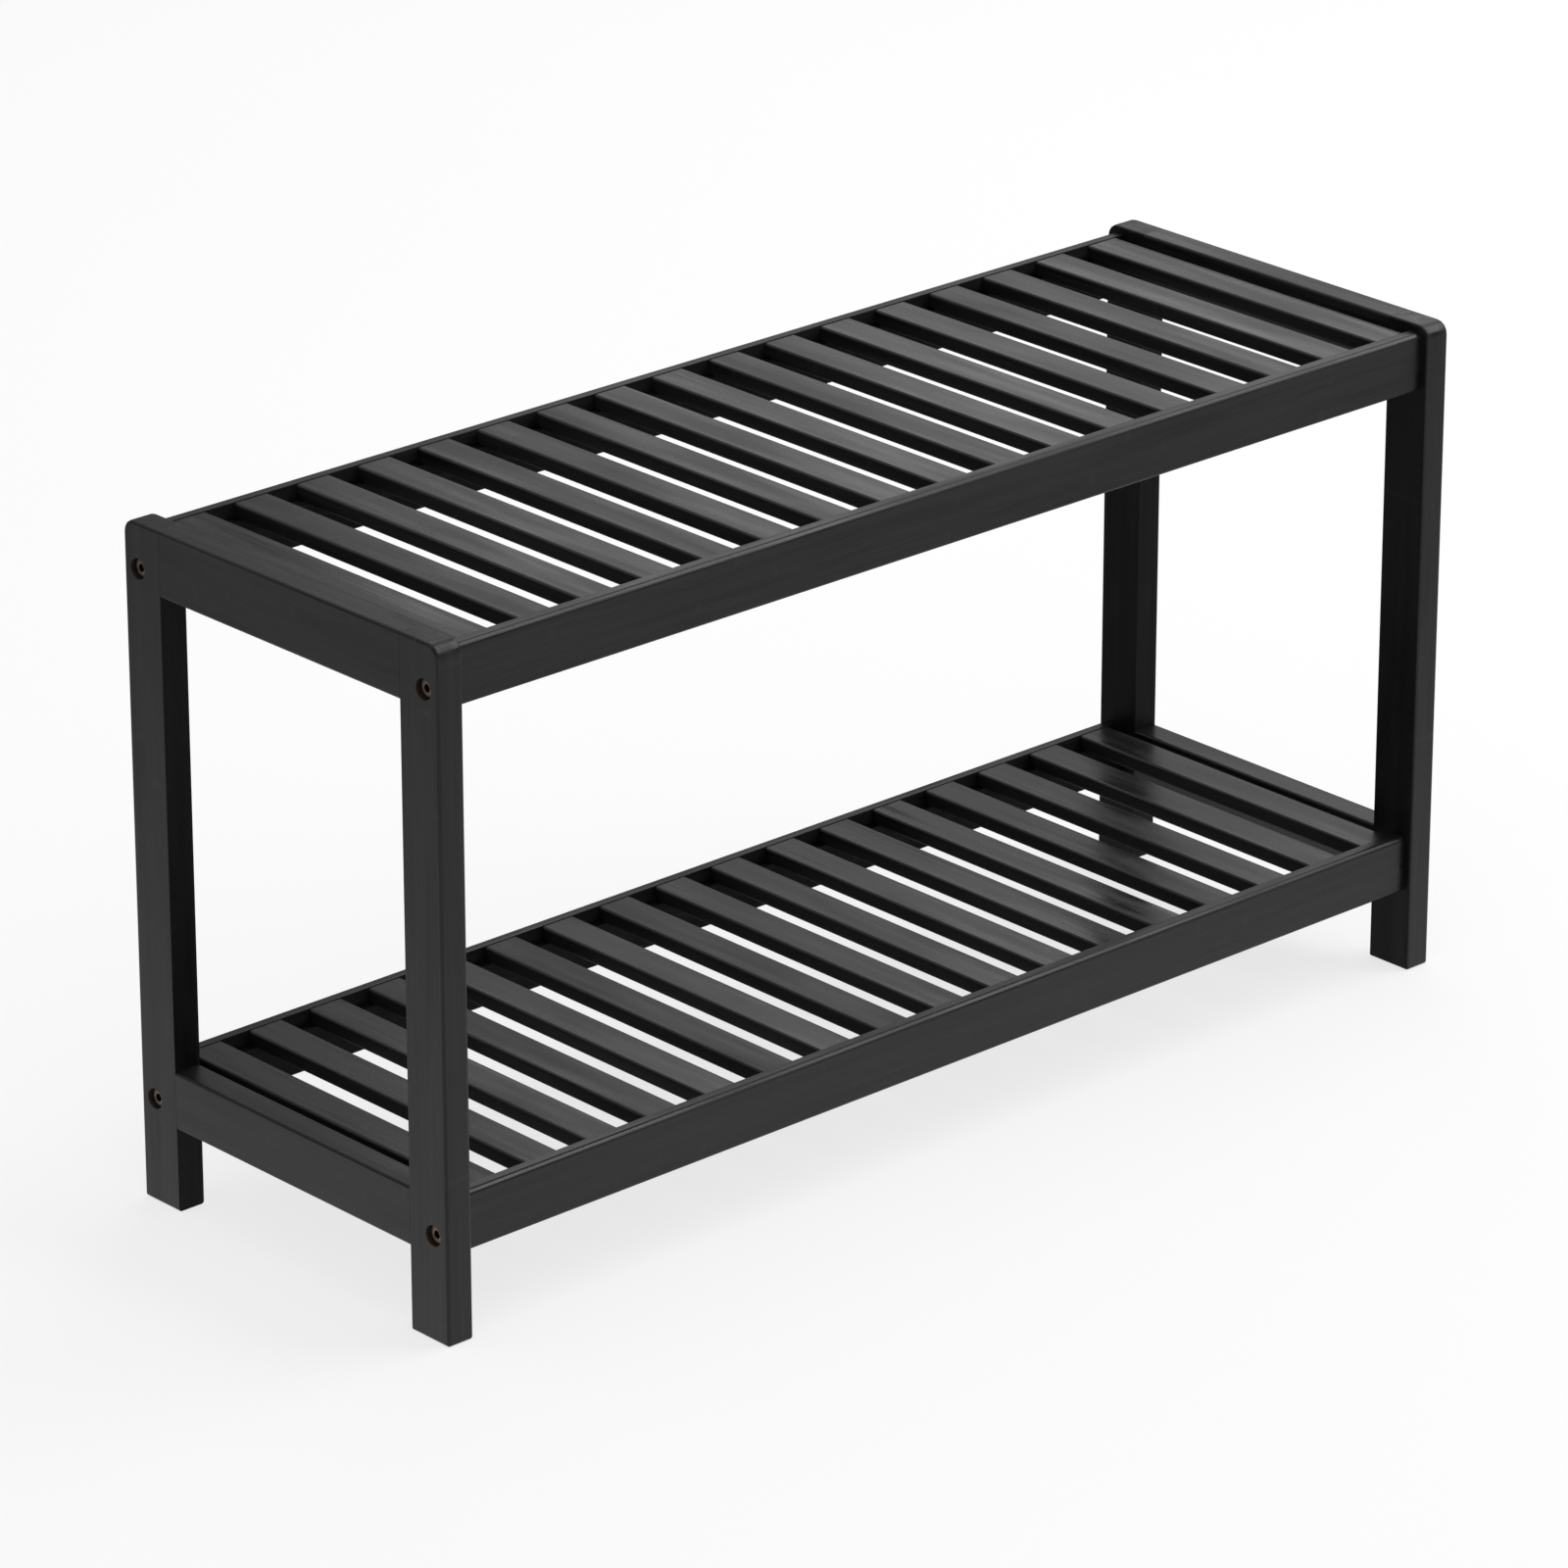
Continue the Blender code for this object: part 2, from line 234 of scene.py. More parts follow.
def drilled_bamboo(name):
    """Bamboo as the drill leaves it, dark with lacquer that ran in."""
    material, shader, add, link = blank_material(name)
    rings = noise(add, add("ShaderNodeTexCoord")["Object"], 1700.0, 3.0, 0.6)
    link(two_tone(add, rings, DRILLED_DARK, DRILLED_LIGHT), shader.inputs["Base Color"])
    link(rescaled(add, rings, (0.0, 1.0), (0.5, 0.8)), shader.inputs["Roughness"])
    bump = add("ShaderNodeBump", Strength=0.6, Distance=0.0001, Height=rings)[0]
    link(bump, shader.inputs["Normal"])
    return material


def box_from_middle(name):
    """A node's lowest and highest corners as seen from its own middle, and that middle."""
    low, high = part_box(name)
    middle = (low + high) / 2
    return low - middle, high - middle, middle


def eased_outline(low, high, radii):
    """A section's points, anticlockwise from its lower left corner.

    Each has how far it lies round an edge, from 0 on a flat to 1 in the middle of the edge.
    """
    turns = (
        (low[0], low[1], 1, 1),
        (high[0], low[1], -1, 1),
        (high[0], high[1], -1, -1),
        (low[0], high[1], 1, -1),
    )
    points = []
    for turn, ((across, up, to_right, to_top), radius) in enumerate(zip(turns, radii)):
        for step in range(EDGE_STEPS + 1):
            angle = math.pi * (1 + (turn + step / EDGE_STEPS) / 2)
            points.append(
                (
                    across + radius * (to_right + math.cos(angle)),
                    up + radius * (to_top + math.sin(angle)),
                    math.sin(math.pi * step / EDGE_STEPS),
                )
            )
    return points


def rounded_block(low, high, radii, side_edges):
    """Loops along X of a block with all edges eased.

    The edges at its low and high Y sides have sizes of their own.
    """
    loops = []
    for at_end, far in ((low[0], False), (high[0], True)):
        for step in range(EDGE_STEPS + 1):
            angle = math.pi / 2 * (1 - step / EDGE_STEPS if far else step / EDGE_STEPS)
            inward = 1 - math.sin(angle)
            lift = EASED_EDGE * (1 - math.cos(angle))
            inset = EASED_EDGE * inward
            outline = eased_outline(
                (low[1] + side_edges[0] * inward, low[2] + inset),
                (high[1] - side_edges[1] * inward, high[2] - inset),
                [max(radius - inset, FINEST_EDGE) for radius in radii],
            )
            round_end = math.sin(2 * angle)
            x = at_end - lift if far else at_end + lift
            loops.append([((x, y, z), max(worn, round_end)) for y, z, worn in outline])
    return loops


def box_loops(low, high):
    """Loops along X of a plain box, for a mortise or a housing."""
    corners = ((low[1], low[2]), (high[1], low[2]), (high[1], high[2]), (low[1], high[2]))
    return [[((x, y, z), 0.0) for y, z in corners] for x in (low[0], high[0])]


def hole_loops(steps, y, z):
    """Loops of a stepped round hole along X, from a list of (x, radius)."""
    angles = [2 * math.pi * side / HOLE_SIDES for side in range(HOLE_SIDES)]
    return [
        [((x, y + radius * math.cos(angle), z + radius * math.sin(angle)), 0.0) for angle in angles]
        for x, radius in steps
    ]


def solid_through(loops):
    """A closed solid through loops of (place, edge) points, with a flat face at each end."""
    shape = bmesh.new()
    edge = shape.verts.layers.float.new("edge")
    rings = []
    for loop in loops:
        ring = []
        for place, worn in loop:
            corner = shape.verts.new(place)
            corner[edge] = worn
            ring.append(corner)
        rings.append(ring)
    for ring, following in zip(rings, rings[1:]):
        for here, there in zip(range(len(ring)), [*range(1, len(ring)), 0]):
            shape.faces.new((ring[here], ring[there], following[there], following[here]))
    shape.faces.new(reversed(rings[0]))
    shape.faces.new(rings[-1])
    bmesh.ops.recalc_face_normals(shape, faces=shape.faces[:])
    return shape


def mesh_from(name, shape, *materials):
    """A mesh from a finished shape, with its materials in the order of the faces' numbers."""
    mesh = bpy.data.meshes.new(name)
    shape.to_mesh(mesh)
    shape.free()
    for material in materials:
        mesh.materials.append(material)
    return mesh


def cut_out(mesh, cuts, cut_material):
    """The mesh with each of the given solids cut out of it. Cut faces take their own material."""
    blank = bpy.data.objects.new("blank", mesh)
    bpy.context.collection.objects.link(blank)
    cutters = []
    for loops in cuts:
        cut = mesh_from("cutter", solid_through(loops), cut_material)
        cutter = bpy.data.objects.new("cutter", cut)
        bpy.context.collection.objects.link(cutter)
        boolean = blank.modifiers.new("cut", "BOOLEAN")
        boolean.operation = "DIFFERENCE"
        boolean.solver = "EXACT"
        boolean.material_mode = "TRANSFER"
        boolean.object = cutter
        cutters.append(cutter)
    bpy.context.view_layer.update()
    finished = blank.evaluated_get(bpy.context.evaluated_depsgraph_get())
    done = bpy.data.meshes.new_from_object(finished)
    done.name = mesh.name
    for used in (blank, *cutters):
        spent = used.data
        bpy.data.objects.remove(used)
        bpy.data.meshes.remove(spent)
    return done


def set_in_place(name, mesh, middle):
    """Puts a finished piece where its node stands, with round edges smooth and faces flat."""
    mesh.shade_smooth()
    mesh.set_sharp_from_angle(angle=SHARP_ANGLE)
    piece = bpy.data.objects.new(name + "_piece", mesh)
    piece.location = middle
    bpy.context.collection.objects.link(piece)
    flat_faces = piece.modifiers.new("flat_faces", "WEIGHTED_NORMAL")
    flat_faces.mode = "FACE_AREA"
    flat_faces.weight = FLAT_FACE_WEIGHT
    flat_faces.keep_sharp = True
    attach(piece, "root")
    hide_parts(name)


post_lacquer = black_lacquer("post_lacquer", grain=2, across=1, roughness=0.33)
# A darker, duller copy of the post lacquer for the inward faces: painted shade.
post_inside_lacquer = black_lacquer(
    "post_inside_lacquer",
    grain=2,
    across=0,
    roughness=0.45,
    shine=0.08,
    fibre_and_painted_light_tone=INSIDE_FIBRE_AND_SHADE_TONE,
)
bare_hole = drilled_bamboo("bare_hole")
for side, outward in (("left", -1), ("right", 1)):
    for end, to_outside in (("front", -1), ("rear", 1)):
        name = f"{side}_{end}_post"
        low, high, middle = box_from_middle(name)
        side_edges = (EASED_EDGE, JOINT_EDGE)
        radii = (EASED_EDGE, JOINT_EDGE, JOINT_EDGE, POST_TOP_RADIUS)
        if to_outside > 0:
            side_edges = side_edges[::-1]
            radii = (JOINT_EDGE, EASED_EDGE, POST_TOP_RADIUS, JOINT_EDGE)
        shape = solid_through(rounded_block(low, high, radii, side_edges))
        # Faces turned inward take the darker, duller copy of the lacquer: painted shade.
        for face in shape.faces:
            inward = -min(face.normal.x * outward, face.normal.y * to_outside)
            face.material_index = int(inward > INSIDE_FACING)
        post = mesh_from(name, shape, post_lacquer, post_inside_lacquer)
        cuts = []
        for level in ("bottom", "top"):
            rail_low, rail_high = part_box(f"{side}_{level}_side_rail")
            rail_low, rail_high = rail_low - middle, rail_high - middle
            mouth = -to_outside * (high.y + OVERRUN)
            seat = (rail_high if to_outside > 0 else rail_low).y + to_outside * FIT
            mortise = box_loops(
                (low.x + TENON_CHEEK, min(mouth, seat), rail_low.z + TENON_SHOULDER),
                (high.x - TENON_CHEEK, max(mouth, seat), rail_high.z - TENON_SHOULDER),
            )
            bolt_low, bolt_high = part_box(f"{side}_{end}_{level}_bolt")
            bolt = (bolt_low + bolt_high) / 2 - middle
            outer = high.x
            hole = (
                (outward * (outer + OVERRUN), COUNTERBORE_RADIUS + OVERRUN),
                (outward * (outer - COUNTERBORE_RIM), COUNTERBORE_RADIUS),
                (outward * (outer - COUNTERBORE_DEPTH), COUNTERBORE_RADIUS),
                (outward * (outer - COUNTERBORE_DEPTH), BOLT_HOLE_RADIUS),
                (-outward * (outer + OVERRUN), BOLT_HOLE_RADIUS),
            )
            cuts += [mortise, hole_loops(hole, bolt.y, bolt.z)]
        set_in_place(name, cut_out(post, cuts, bare_hole), middle)


# Side rails
# Four short rails of laminated bamboo that tie the posts of each side frame, flush with their
# faces. A stub tenon at each end is glued into a post, and the frame is lacquered after gluing.
TENON_EDGE = 0.0005
JOINT_LINE = 0.00004


def tenoned_bar(body_low, body_high, reach, cheek, shoulder):
    """Loops of a bar along Y with a tenon at each end that reaches past the body."""
    body = eased_outline(
        (body_low[0], body_low[2]), (body_high[0], body_high[2]), [EASED_EDGE] * 4
    )
    tenon = eased_outline(
        (body_low[0] + cheek, body_low[2] + shoulder),
        (body_high[0] - cheek, body_high[2] - shoulder),
        [TENON_EDGE] * 4,
    )
    places = (
        (tenon, body_low[1] - reach),
        (tenon, body_low[1]),
        (body, body_low[1]),
        (body, body_high[1]),
        (tenon, body_high[1]),
        (tenon, body_high[1] + reach),
    )
    return [[((x, y, z), worn) for x, z, worn in outline] for outline, y in places]


side_rail_lacquer = black_lacquer("side_rail_lacquer", grain=1, across=2, roughness=0.33)
for side in ("left", "right"):
    shoulder_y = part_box(f"{side}_rear_post")[0].y - JOINT_LINE
    for level in ("bottom", "top"):
        name = f"{side}_{level}_side_rail"
        low, high, middle = box_from_middle(name)
        loops = tenoned_bar(
            (low.x, -shoulder_y, low.z),
            (high.x, shoulder_y, high.z),
            high.y - shoulder_y,
            TENON_CHEEK + FIT,
            TENON_SHOULDER + FIT,
        )
        rail = mesh_from(name, solid_through(loops), side_rail_lacquer)
        set_in_place(name, rail, middle)


# Shelf rails
# Long bamboo rails, front and rear of each shelf, rounded along the outer top edge. A ledge along
# the inner top edge carries the slats, and each end is bored for the bolt that holds it to a post.
RAIL_TOP_RADIUS = 0.003
RAIL_INNER_EDGE = 0.0004
RAIL_LIP = 0.0075
HOUSING_DEPTH = 0.006
TONGUE_CHEEK = 0.0017
TONGUE_SHOULDER = 0.0017
MATT_ROUGHNESS = 0.62
# Shine of the darker, duller copies of the lacquer: painted shade.
PAINTED_SHADE_SHINE = 0.06
FACING = 0.5


def slats_of(level):
    """The names of one shelf's slats, from left to right."""
    return sorted(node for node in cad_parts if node.startswith(f"{level}_shelf_slat_"))


def lipped_outline(low, high, ledge, to_outside):
    """A shelf rail's section, with a ledge for the slats inside the lip along its outer edge."""
    corner = EDGE_STEPS + 1
    bottom = eased_outline(low, high, [EASED_EDGE] * 4)[: 2 * corner]
    if to_outside < 0:
        lip = low[0] + RAIL_LIP
        radii = [RAIL_INNER_EDGE] * 3 + [RAIL_TOP_RADIUS]
        top = eased_outline(low, (lip, high[1]), radii)[2 * corner :]
        return bottom + [(high[0], ledge, 0.0), (lip, ledge, 0.0)] + top
    lip = high[0] - RAIL_LIP
    radii = [RAIL_INNER_EDGE] * 2 + [RAIL_TOP_RADIUS, RAIL_INNER_EDGE]
    top = eased_outline((lip, low[1]), high, radii)[2 * corner :]
    return bottom + top + [(lip, ledge, 0.0), (low[0], ledge, 0.0)]


shelf_rail_lacquer = black_lacquer("shelf_rail_lacquer", grain=0, across=2, roughness=0.32)
# Faces toward the slats and the ledge take this duller copy of the lacquer: painted shade inside
# the shelf.
inside_lacquer = black_lacquer(
    "inside_lacquer", grain=0, across=2, roughness=MATT_ROUGHNESS, shine=PAINTED_SHADE_SHINE
)
for level in ("bottom", "top"):
    slats = slats_of(level)
    for end, to_outside in (("front", -1), ("rear", 1)):
        name = f"{level}_shelf_{end}_rail"
        low, high, middle = box_from_middle(name)
        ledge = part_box(slats[0])[0].z - middle.z - JOINT_LINE
        outline = lipped_outline((low.y, low.z), (high.y, high.z), ledge, to_outside)
        loops = [[((x, y, z), worn) for y, z, worn in outline] for x in (low.x, high.x)]
        shape = solid_through(loops)
        # Faces toward the slats and the ledge under the top take the painted-shade copy.
        for face in shape.faces:
            under_top = face.calc_center_median().z < high.z - RAIL_TOP_RADIUS
            faces_slats = face.normal.y * to_outside < -FACING
            is_ledge = face.normal.z > FACING and under_top
            face.material_index = int(faces_slats or is_ledge)
        rail = mesh_from(name, shape, shelf_rail_lacquer, inside_lacquer)
        cuts = []
        mouth = -to_outside * (high.y + OVERRUN)
        seat = -to_outside * (high.y - HOUSING_DEPTH)
        for slat in slats:
            slat_low, slat_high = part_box(slat)
            slat_low, slat_high = slat_low - middle, slat_high - middle
            housing = box_loops(
                (slat_low.x + TONGUE_CHEEK, min(mouth, seat), slat_low.z + TONGUE_SHOULDER),
                (slat_high.x - TONGUE_CHEEK, max(mouth, seat), slat_high.z - TONGUE_SHOULDER),
            )
            cuts.append(housing)
        for side, outward in (("left", -1), ("right", 1)):
            bolt_low, bolt_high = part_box(f"{side}_{end}_{level}_bolt")
            bolt = (bolt_low + bolt_high) / 2 - middle
            tip = (bolt_high if outward < 0 else bolt_low).x - outward * FIT
            hole = ((outward * (high.x + OVERRUN), BOLT_HOLE_RADIUS), (tip, BOLT_HOLE_RADIUS))
            cuts.append(hole_loops(hole, bolt.y, bolt.z))
        set_in_place(name, cut_out(rail, cuts, bare_hole), middle)


# Slats
# Planed bamboo strips with eased edges. The satin tops have a lighter tone, partly painted sheen;
# the sides take a darker, duller copy of the lacquer, painted shade in the slots. The ends
# lie on the rails' ledges with a short tongue in the lip, and stand just under the rails' tops.
# The tops' tone is lighter than the sides': partly fibre showing through, partly painted sheen.
SLAT_FIBRE_AND_SHEEN_TONE = (0.026, 0.0245, 0.0235, 1)
TOP_FACING = 0.35

slat_lacquer = black_lacquer(
    "slat_lacquer", grain=1, across=0, roughness=0.27, fibre_and_painted_light_tone=SLAT_FIBRE_AND_SHEEN_TONE
)
slat_side_lacquer = black_lacquer(
    "slat_side_lacquer", grain=1, across=2, roughness=MATT_ROUGHNESS, shine=PAINTED_SHADE_SHINE
)
for level in ("bottom", "top"):
    shoulder_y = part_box(f"{level}_shelf_rear_rail")[1].y - RAIL_LIP - JOINT_LINE
    for name in slats_of(level):
        low, high, middle = box_from_middle(name)
        loops = tenoned_bar(
            (low.x, -shoulder_y, low.z),
            (high.x, shoulder_y, high.z),
            high.y - shoulder_y,
            TONGUE_CHEEK + FIT,
            TONGUE_SHOULDER + FIT,
        )
        shape = solid_through(loops)
        # Faces that don't face up take the darker, duller copy: painted shade in the slots.
        for face in shape.faces:
            face.material_index = int(face.normal.z < TOP_FACING)
        slat = mesh_from(name, shape, slat_lacquer, slat_side_lacquer)
        set_in_place(name, slat, middle)


# Bolts
# Flat-headed furniture bolts of bronzed steel, with a hexagon socket and a coarse thread that bites
# into the rail ends. The heads sit below the face of the posts, in the counterbores.
BOLT_SIDES = 48
HEAD_RADIUS = 0.005
HEAD_HEIGHT = 0.0035
HEAD_ROUND = 0.0006
HEAD_WEAR = 0.5
SHANK_RADIUS = 0.0029
SHANK_LENGTH = 0.011
SHANK_TAPER = 0.0006
CORE_RADIUS = 0.0022
THREAD_PITCH = 0.003
THREAD_STEPS = 10
THREAD_RIDGE = 0.32
THREAD_START = 0.0122
TIP_LENGTH = 0.003
TIP_RADIUS = 0.0012
SOCKET_WIDTH = 0.004
SOCKET_DEPTH = 0.0023
SOCKET_CHAMFER = 0.0003
SOCKET_WEAR = 0.4
SOCKET_RIM_WEAR = 0.7
SOCKET_POINT = 0.0006
SOCKET_POINT_RADIUS = 0.0004
BRONZE_DARK = (0.040, 0.027, 0.019, 1)
BRONZE_LIGHT = (0.110, 0.077, 0.055, 1)
BRONZE_RUBBED = (0.24, 0.19, 0.155, 1)


def bronzed_steel(name):
    """Steel with a thin brown finish, brighter where a key has rubbed it."""
    material, shader, add, link = blank_material(name)
    shader.inputs["Metallic"].default_value = 1.0
    mottle = noise(add, add("ShaderNodeTexCoord")["Object"], 900.0, 4.0, 0.6)
    colour = two_tone(add, mottle, BRONZE_DARK, BRONZE_LIGHT, 0.3, 0.75)
    edge = add("ShaderNodeAttribute", {"attribute_name": "edge"})["Fac"]
    colour = add("ShaderNodeMix", {"data_type": "RGBA"}, i0=edge, i6=colour, i7=BRONZE_RUBBED)[2]
    link(colour, shader.inputs["Base Color"])
    link(rescaled(add, mottle, (0.0, 1.0), (0.26, 0.48)), shader.inputs["Roughness"])
    bump = add("ShaderNodeBump", Strength=0.4, Distance=0.00003, Height=mottle)[0]
    link(bump, shader.inputs["Normal"])
    return material


def turned(x, radius, worn=0.0):
    """A round loop across the bolt."""
    angles = [2 * math.pi * side / BOLT_SIDES for side in range(BOLT_SIDES)]
    return [((x, radius * math.cos(angle), radius * math.sin(angle)), worn) for angle in angles]


def hexagon(x, width, worn=0.0):
    """A hexagon across the bolt with as many points as a round loop."""
    points = []
    for side in range(BOLT_SIDES):
        angle = 2 * math.pi * side / BOLT_SIDES
        radius = width / 2 / math.cos(angle % (math.pi / 3) - math.pi / 6)
        points.append(((x, radius * math.cos(angle), radius * math.sin(angle)), worn))
    return points


def thread_ring(x, stop):
    """One ring of the thread, a ridge that winds round the core and fades out at both ends."""
    points = []
    fade = min(1.0, (x - THREAD_START) / THREAD_PITCH, (stop - x) / (2 * THREAD_PITCH))
    fade = max(0.0, fade)
    for side in range(BOLT_SIDES):
        turn = side / BOLT_SIDES
        phase = (x / THREAD_PITCH - turn) % 1.0
        ridge = max(0.0, 1 - abs(phase - 0.5) / THREAD_RIDGE)
        radius = CORE_RADIUS + (SHANK_RADIUS - CORE_RADIUS) * ridge * fade
        angle = 2 * math.pi * turn
        points.append(((x, radius * math.cos(angle), radius * math.sin(angle)), 0.0))
    return points


def bolt_loops(length):
    """Loops of a bolt, from the bottom of its socket over the head and along the shank."""
    loops = [
        turned(SOCKET_DEPTH + SOCKET_POINT, SOCKET_POINT_RADIUS),
        hexagon(SOCKET_DEPTH, SOCKET_WIDTH),
        hexagon(SOCKET_CHAMFER, SOCKET_WIDTH, SOCKET_WEAR),
        hexagon(0.0, SOCKET_WIDTH + 2 * SOCKET_CHAMFER, SOCKET_RIM_WEAR),
    ]
    for step in range(EDGE_STEPS + 1):
        angle = math.pi / 2 * step / EDGE_STEPS
        x = HEAD_ROUND * (1 - math.cos(angle))
        radius = HEAD_RADIUS - HEAD_ROUND * (1 - math.sin(angle))
        loops.append(turned(x, radius, HEAD_WEAR * math.sin(2 * angle)))
    loops += [
        turned(HEAD_HEIGHT, HEAD_RADIUS),
        turned(HEAD_HEIGHT, SHANK_RADIUS),
        turned(SHANK_LENGTH, SHANK_RADIUS),
        turned(SHANK_LENGTH + SHANK_TAPER, CORE_RADIUS),
    ]
    thread_end = length - TIP_LENGTH
    rings = round((thread_end - THREAD_START) / THREAD_PITCH * THREAD_STEPS)
    for ring in range(rings + 1):
        loops.append(thread_ring(THREAD_START + ring * THREAD_PITCH / THREAD_STEPS, thread_end))
    loops.append(turned(length, TIP_RADIUS))
    return loops


bolt_bronze = bronzed_steel("bolt_bronze")
for side, outward in (("left", -1), ("right", 1)):
    for end in ("front", "rear"):
        for level in ("bottom", "top"):
            name = f"{side}_{end}_{level}_bolt"
            low, high, middle = box_from_middle(name)
            loops = [
                [((outward * (high.x - x), y, z), worn) for (x, y, z), worn in loop]
                for loop in bolt_loops(high.x - low.x)
            ]
            bolt = mesh_from(name, solid_through(loops), bolt_bronze)
            set_in_place(name, bolt, middle)


# Floor, light and camera
# A plain pale floor under a soft dome, a long lamp overhead, a lamp high on the right for the edges
# and a card at the rear right that the slat tops mirror. The camera looks from the left front.
FLOOR_RADIUS = 14.0
FLOOR_DROP = 0.0002
PAPER_DARK = (0.88, 0.88, 0.88, 1)
PAPER_LIGHT = (0.90, 0.90, 0.90, 1)
WHITE_SHARE = 0.74
MORE_WHITE_MIRRORED = 0.20
DIMMED_FROM = (0.35, 1.1)
DIMMED_BY = (-0.05, -0.43)
BEHIND_FROM = (0.10, 0.25)
DIMMED_BEHIND = -0.5
REAR_RIGHT_WAY = (0.8, 0.6, 0.0)
REAR_RIGHT_FROM = (0.0, 0.12)
DIMMED_MOST = -0.92


def pale_floor(name):
    """White paper that keeps a soft shadow. Most of what is seen of it is plain white.

    Its mirror image in the lacquer is painted darker with distance, and more so behind the rack on
    the right: painted shade.
    """
    material, shader, add, link = blank_material(name)
    place = add("ShaderNodeTexCoord")["Object"]
    tone = noise(add, place, 3.0, 2.0, 0.5)
    link(two_tone(add, tone, PAPER_DARK, PAPER_LIGHT), shader.inputs["Base Color"])
    shader.inputs["Roughness"].default_value = 0.8
    shader.inputs["Specular IOR Level"].default_value = 0.2

    ray = add("ShaderNodeLightPath")
    mirrored = ray["Is Glossy Ray"]
    seen = worked_out(add, "MAXIMUM", ray["Is Camera Ray"], mirrored)
    seen = worked_out(add, "MAXIMUM", seen, ray["Is Transmission Ray"])
    share = added_up(add, 0.0, (seen, WHITE_SHARE), (mirrored, MORE_WHITE_MIRRORED))

    # Painted shade: the glow that the lacquer mirrors is made darker with distance and behind the
    # rack on the right.
    distance = add("ShaderNodeVectorMath", {"operation": "LENGTH"}, i0=place)["Value"]
    painted_mirror_shade = rescaled(add, distance, DIMMED_FROM, DIMMED_BY)
    behind = add("ShaderNodeSeparateXYZ", Vector=place)["Y"]
    behind = rescaled(add, behind, BEHIND_FROM, (0.0, DIMMED_BEHIND))
    to_right = add(
        "ShaderNodeVectorMath", {"operation": "DOT_PRODUCT"}, i0=place, i1=REAR_RIGHT_WAY
    )["Value"]
    to_right = rescaled(add, to_right, REAR_RIGHT_FROM, (0.0, 1.0))
    painted_mirror_shade = worked_out(add, "MAXIMUM", added_up(add, painted_mirror_shade, (behind, to_right)), DIMMED_MOST)

    strength = added_up(add, 1.0, (mirrored, painted_mirror_shade))
    white = add("ShaderNodeEmission", Color=(1, 1, 1, 1), Strength=strength)[0]
    paper = add("ShaderNodeMixShader", i0=share, i1=shader.outputs[0], i2=white)[0]
    link(paper, material.node_tree.nodes["Material Output"].inputs["Surface"])
    return material


ground = bmesh.new()
bmesh.ops.create_circle(ground, cap_ends=True, radius=FLOOR_RADIUS, segments=96)
floor = bpy.data.objects.new("floor", mesh_from("floor", ground, pale_floor("pale_floor")))
floor.location.z = -FLOOR_DROP
bpy.context.collection.objects.link(floor)

DOME_HEIGHTS = (0.42, 0.72)
DOME_STRENGTHS = (0.24, 0.70)
BACKDROP_STRENGTH = 0.90

scene = bpy.context.scene
scene.view_settings.view_transform = "Standard"
surround = bpy.data.worlds.new("surround")
surround.use_nodes = True
sky = surround.node_tree.nodes["Background"]
sky.inputs["Color"].default_value = (1, 1, 1, 1)
add = node_maker(surround.node_tree)
height = add("ShaderNodeSeparateXYZ", Vector=add("ShaderNodeTexCoord")["Generated"])["Z"]
dome = rescaled(add, height, DOME_HEIGHTS, DOME_STRENGTHS)
seen = add("ShaderNodeLightPath")["Is Camera Ray"]
backdrop = added_up(add, 0.0, (seen, BACKDROP_STRENGTH))
dome = worked_out(add, "MAXIMUM", dome, backdrop)
surround.node_tree.links.new(dome, sky.inputs["Strength"])
scene.world = surround

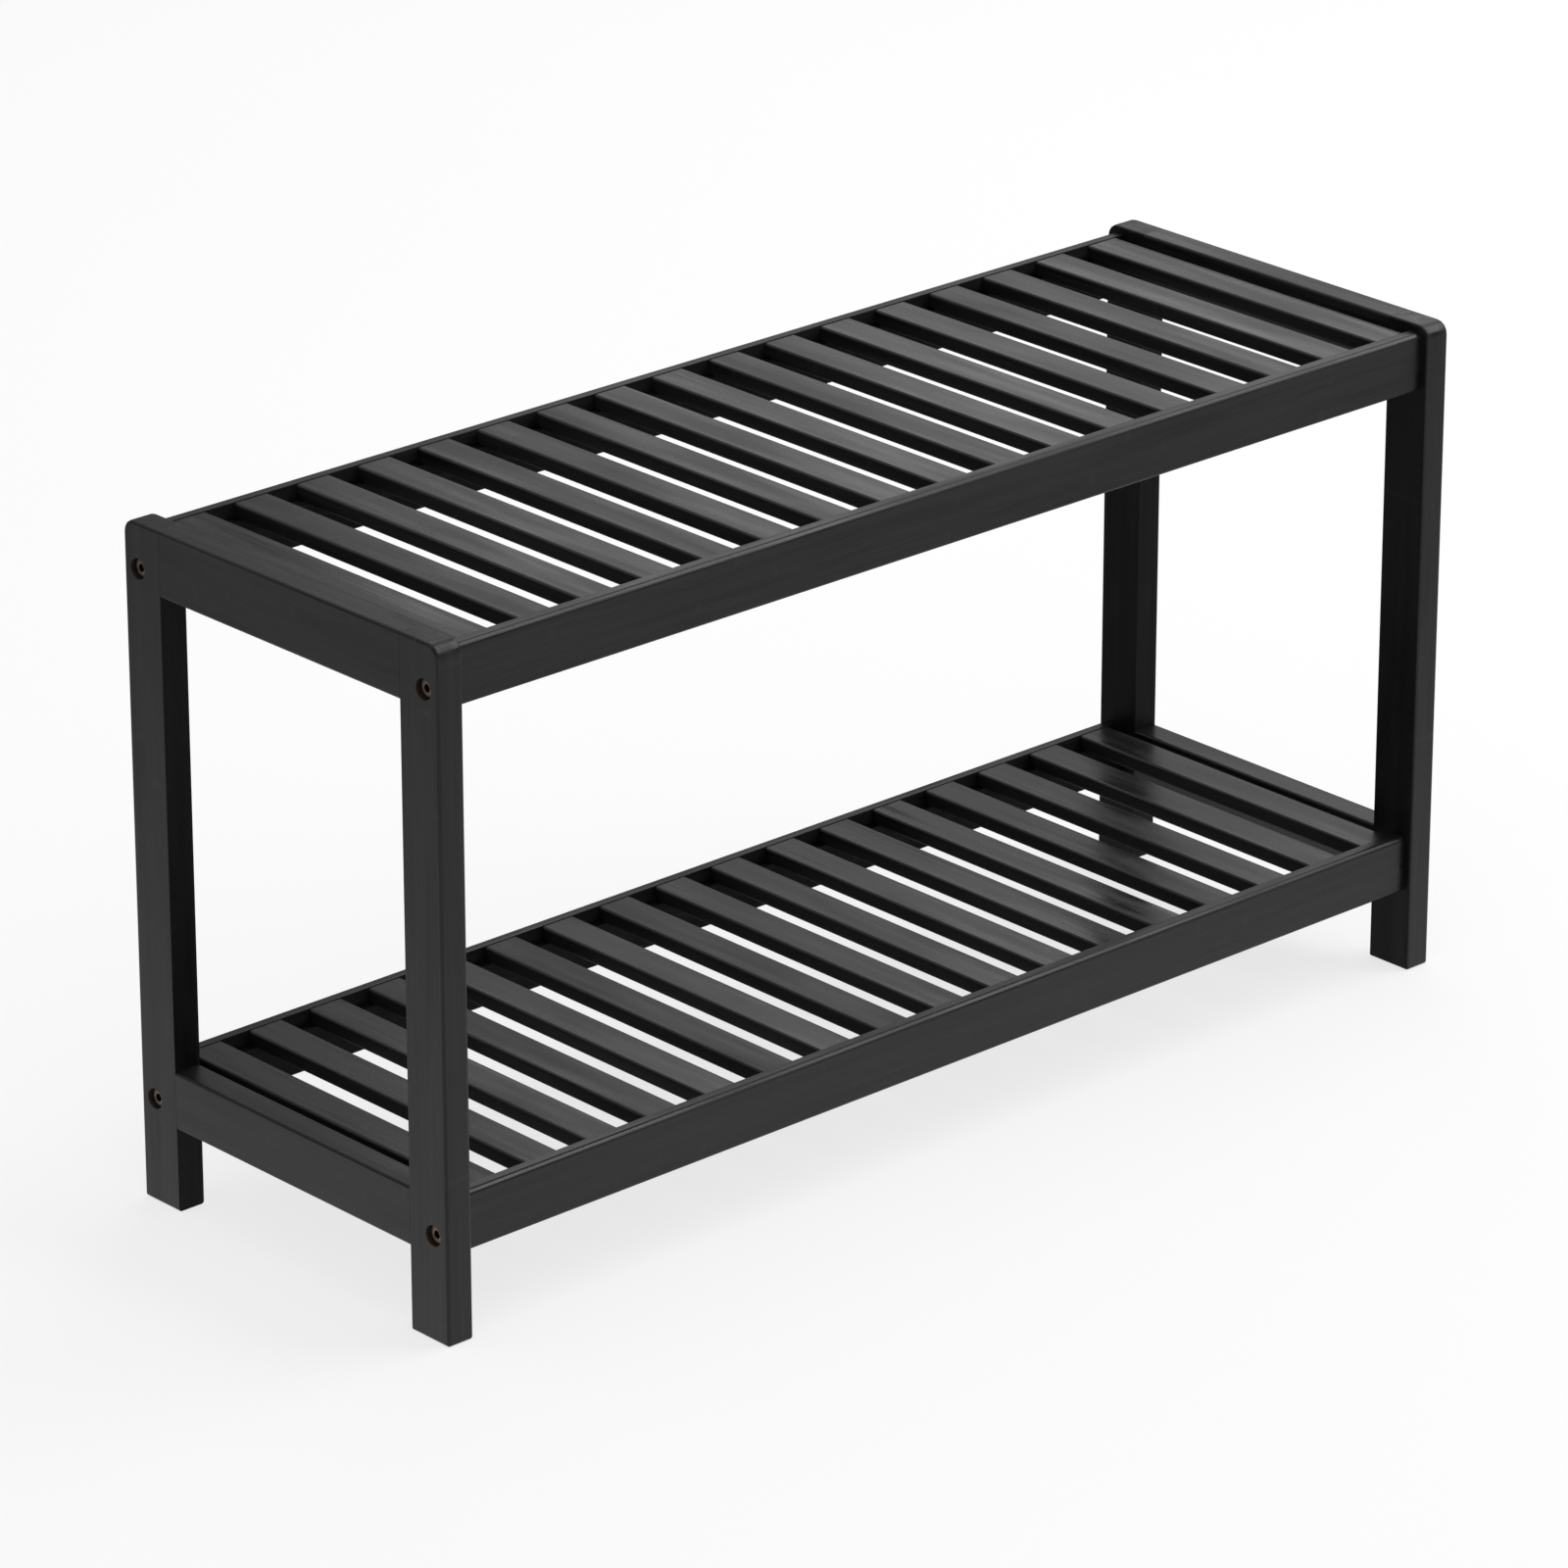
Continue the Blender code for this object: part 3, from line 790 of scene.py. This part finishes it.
VIEW_AZIMUTH = math.radians(42.7)
VIEW_ELEVATION = math.radians(22.1)
VIEW_DISTANCE = 4.17
SENSOR_WIDTH = 36.0
LENS_LENGTH = 184.0
AIM = Vector((-0.0133, 0.0035, 0.1692))
RACK_MIDDLE = Vector((0.0, 0.0, 0.185))
CARD_AZIMUTH = math.radians(61)
CARD_ELEVATION = math.radians(28)
CARD_ROLL = math.radians(20)

away = Vector((math.sin(VIEW_AZIMUTH), math.cos(VIEW_AZIMUTH), 0.0))


def lamp(name, side, distance, along, width, length, brightness):
    """A flat lamp that faces the rack from one side. At a brightness of 1 it looks white."""
    light = bpy.data.lights.new(name, "AREA")
    light.shape = "RECTANGLE"
    light.size = width
    light.size_y = length
    light.energy = brightness * math.pi * width * length
    holder = bpy.data.objects.new(name, light)
    facing = side.normalized()
    long_way = (along - facing * along.dot(facing)).normalized()
    turned_to_rack = Matrix((long_way.cross(facing), long_way, facing)).transposed()
    holder.location = RACK_MIDDLE + distance * facing
    holder.rotation_euler = turned_to_rack.to_euler()
    holder.visible_camera = False
    bpy.context.collection.objects.link(holder)
    return holder


overhead = lamp(
    "overhead",
    side=Vector((0.0, 0.0, 1.0)),
    distance=1.72,
    along=away,
    width=0.7,
    length=4.6,
    brightness=1.1,
)
overhead.visible_glossy = False
lamp(
    "edge",
    side=Vector((0.63, -0.375, 0.68)),
    distance=3.6,
    along=Vector((0.0, -0.87, -0.49)),
    width=1.25,
    length=3.3,
    brightness=5.0,
)
card_side = Vector((math.sin(CARD_AZIMUTH), math.cos(CARD_AZIMUTH), math.tan(CARD_ELEVATION)))
card_across = Vector((math.cos(CARD_AZIMUTH), -math.sin(CARD_AZIMUTH), 0.0))
card_up = card_across * math.sin(CARD_ROLL) + Vector((0.0, 0.0, math.cos(CARD_ROLL)))
lamp("card", side=card_side, distance=3.0, along=card_up, width=2.4, length=1.3, brightness=1.05)

lens = bpy.data.cameras.new("camera")
lens.sensor_width = SENSOR_WIDTH
lens.lens = LENS_LENGTH
camera = bpy.data.objects.new("camera", lens)
toward = away * math.cos(VIEW_ELEVATION) - Vector((0.0, 0.0, math.sin(VIEW_ELEVATION)))
camera.location = RACK_MIDDLE - VIEW_DISTANCE * toward
camera.rotation_euler = (AIM - camera.location).to_track_quat("-Z", "Y").to_euler()
bpy.context.collection.objects.link(camera)
scene.camera = camera
